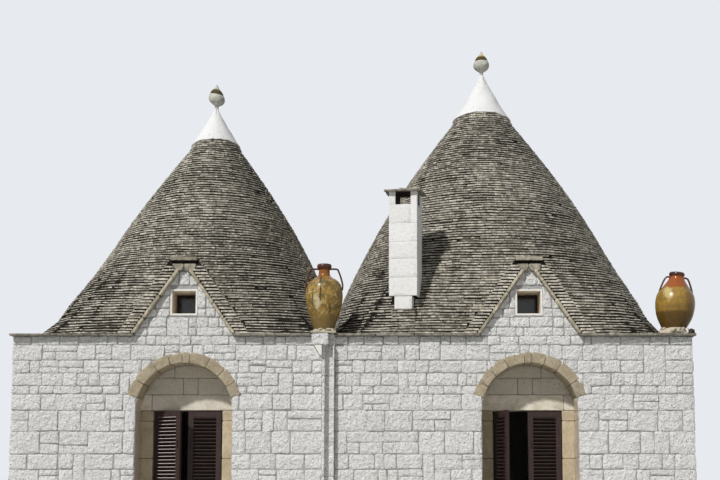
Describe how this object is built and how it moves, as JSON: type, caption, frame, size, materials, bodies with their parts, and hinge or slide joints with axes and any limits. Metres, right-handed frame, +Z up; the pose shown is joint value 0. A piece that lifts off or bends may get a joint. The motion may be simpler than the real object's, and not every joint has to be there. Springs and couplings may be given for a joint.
{
  "type": "trullo house",
  "caption": "Whitewashed stone house with two conical dry-stone roofs, arched door niches under small gables, louvred shutters, a chimney and glazed storage jars.",
  "frame": {"origin": "on the ground, at the middle of the walls' plan", "axes": "+X to the right along the front, +Y towards the back, +Z up"},
  "size_m": [11.54, 6.841, 9.28],
  "materials": {
    "whitewashed_stone": "matte",
    "smooth_whitewash": "matte",
    "cap_whitewash": "matte",
    "warm_limestone": "matte",
    "roof_stone": "matte",
    "finial_stone": "matte",
    "window_glass": "gloss",
    "jar_glaze": "gloss",
    "shutter_wood": "satin"
  },
  "bodies": {
    "house": {"front_wall_left": "whitewashed_stone", "front_wall_middle": "whitewashed_stone", "front_wall_right": "whitewashed_stone", "left_door_wall": "whitewashed_stone", "right_door_wall": "whitewashed_stone", "back_wall": "whitewashed_stone", "left_wall": "whitewashed_stone", "right_wall": "whitewashed_stone", "middle_wall": "whitewashed_stone", "left_gable": "whitewashed_stone", "right_gable": "whitewashed_stone", "spout_block": "whitewashed_stone", "rain_channel": "whitewashed_stone", "chimney_shaft": "whitewashed_stone", "left_tympanum": "smooth_whitewash", "right_tympanum": "smooth_whitewash", "window_frames": "smooth_whitewash", "left_cap": "cap_whitewash", "right_cap": "cap_whitewash", "left_arch": "warm_limestone", "right_arch": "warm_limestone", "left_door_frame": "warm_limestone", "right_door_frame": "warm_limestone", "left_floor": "warm_limestone", "right_floor": "warm_limestone", "jar_beds": "warm_limestone", "left_cone": "roof_stone", "right_cone": "roof_stone", "left_gable_roof": "roof_stone", "right_gable_roof": "roof_stone", "front_eaves": "roof_stone", "back_eaves": "roof_stone", "side_eaves": "roof_stone", "valley_slab": "roof_stone", "chimney_cap": "roof_stone", "left_finial": "finial_stone", "right_finial": "finial_stone", "window_panes": "window_glass", "middle_jar": "jar_glaze", "right_jar": "jar_glaze", "window_sashes": "shutter_wood"},
    "left_door_left_leaf": {"left_door_left_shutter": "shutter_wood"},
    "left_door_right_leaf": {"left_door_right_shutter": "shutter_wood"},
    "right_door_left_leaf": {"right_door_left_shutter": "shutter_wood"},
    "right_door_right_leaf": {"right_door_right_shutter": "shutter_wood"}
  },
  "joints": [
    {"name": "left_door_left_hinge", "type": "hinge", "parent": "house", "child": "left_door_left_leaf", "pos_m": [-3.367, -2.692, 0.165], "axis": [0, 0, -1], "range_deg": [-32, 63]},
    {"name": "left_door_right_hinge", "type": "hinge", "parent": "house", "child": "left_door_right_leaf", "pos_m": [-2.233, -2.692, 0.165], "axis": [0, 0, 1], "range_deg": [0, 95]},
    {"name": "right_door_left_hinge", "type": "hinge", "parent": "house", "child": "right_door_left_leaf", "pos_m": [2.373, -2.692, 0.165], "axis": [0, 0, -1], "range_deg": [-72, 23]},
    {"name": "right_door_right_hinge", "type": "hinge", "parent": "house", "child": "right_door_right_leaf", "pos_m": [3.507, -2.692, 0.165], "axis": [0, 0, 1], "range_deg": [0, 95]}
  ]
}
